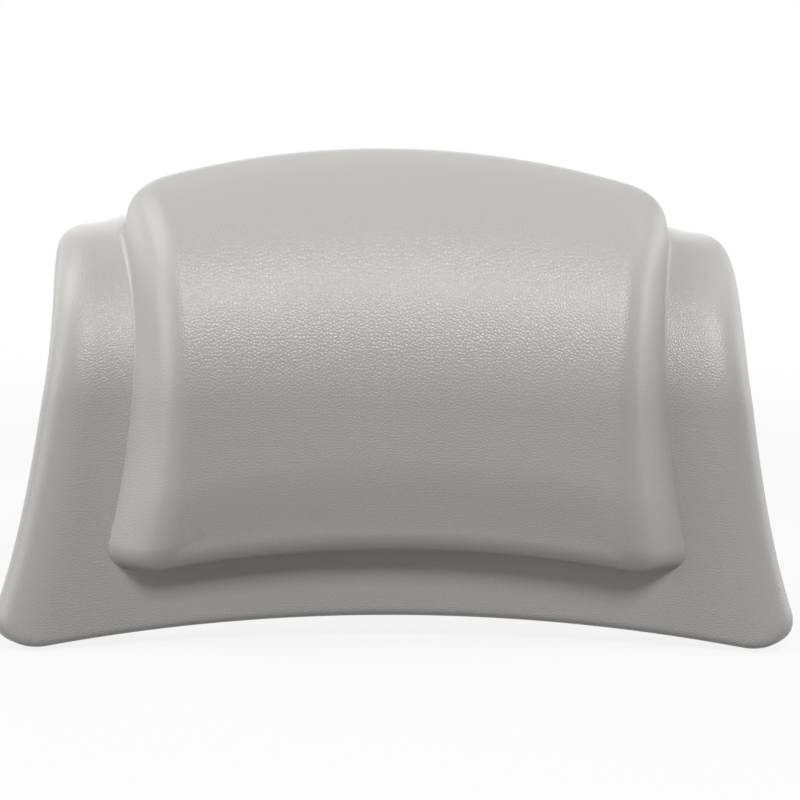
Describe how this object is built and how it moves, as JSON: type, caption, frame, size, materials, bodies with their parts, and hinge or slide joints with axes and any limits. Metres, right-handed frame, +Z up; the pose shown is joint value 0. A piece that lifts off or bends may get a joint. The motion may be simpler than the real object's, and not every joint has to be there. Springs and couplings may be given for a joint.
{
  "type": "bath pillow",
  "caption": "Grained foam bath pillow, hollowed sideways and rolled back at the top, with a raised head pad on a winged base, held to the tub by suction cups.",
  "frame": {"origin": "middle of the row of suction cups, on the tub wall that they press on", "axes": "+X to the right as the bather's side is seen, +Y away from the bather into the tub wall, +Z up"},
  "size_m": [0.3084, 0.1101, 0.1905],
  "materials": {
    "skin_vinyl": "satin moulded vinyl with a fine leather grain",
    "foam": "open-cell polyurethane foam",
    "insert_plastic": "matte moulded polypropylene",
    "plate_plastic": "fine-textured moulded polypropylene",
    "screw_steel": "stainless steel",
    "stud_acetal": "satin acetal",
    "cup_vinyl": "soft clear vinyl"
  },
  "bodies": {
    "pillow": {"head_pad_skin": "skin_vinyl", "head_pad_foam": "foam", "wing_skin": "skin_vinyl", "wing_foam": "foam", "insert_frame": "insert_plastic", "back_plate": "plate_plastic", "plate_screw_1": "screw_steel", "plate_screw_2": "screw_steel", "plate_screw_3": "screw_steel", "plate_screw_4": "screw_steel", "plate_screw_5": "screw_steel", "plate_screw_6": "screw_steel"},
    "stud_1": {"cup_stud_1": "stud_acetal"},
    "stud_2": {"cup_stud_2": "stud_acetal"},
    "stud_3": {"cup_stud_3": "stud_acetal"},
    "stud_4": {"cup_stud_4": "stud_acetal"},
    "cup_1": {"suction_cup_1": "cup_vinyl"},
    "cup_2": {"suction_cup_2": "cup_vinyl"},
    "cup_3": {"suction_cup_3": "cup_vinyl"},
    "cup_4": {"suction_cup_4": "cup_vinyl"}
  },
  "joints": [
    {"name": "stud_1_slide", "type": "slide", "parent": "pillow", "child": "stud_1", "axis": [0, 0, -1], "range_m": [0, 0.012]},
    {"name": "stud_2_slide", "type": "slide", "parent": "pillow", "child": "stud_2", "axis": [0, 0, -1], "range_m": [0, 0.012]},
    {"name": "stud_3_slide", "type": "slide", "parent": "pillow", "child": "stud_3", "axis": [0, 0, -1], "range_m": [0, 0.012]},
    {"name": "stud_4_slide", "type": "slide", "parent": "pillow", "child": "stud_4", "axis": [0, 0, -1], "range_m": [0, 0.012]},
    {"name": "cup_1_turn", "type": "hinge", "parent": "stud_1", "child": "cup_1", "pos_m": [-0.08044, -0.00666, 0], "axis": [-0.1645, 0.9864, 0], "continuous": true},
    {"name": "cup_2_turn", "type": "hinge", "parent": "stud_2", "child": "cup_2", "pos_m": [-0.02692, -0.00074, 0], "axis": [-0.0551, 0.9985, 0], "continuous": true},
    {"name": "cup_3_turn", "type": "hinge", "parent": "stud_3", "child": "cup_3", "pos_m": [0.02692, -0.00074, 0], "axis": [0.0551, 0.9985, 0], "continuous": true},
    {"name": "cup_4_turn", "type": "hinge", "parent": "stud_4", "child": "cup_4", "pos_m": [0.08044, -0.00666, 0], "axis": [0.1645, 0.9864, 0], "continuous": true}
  ]
}
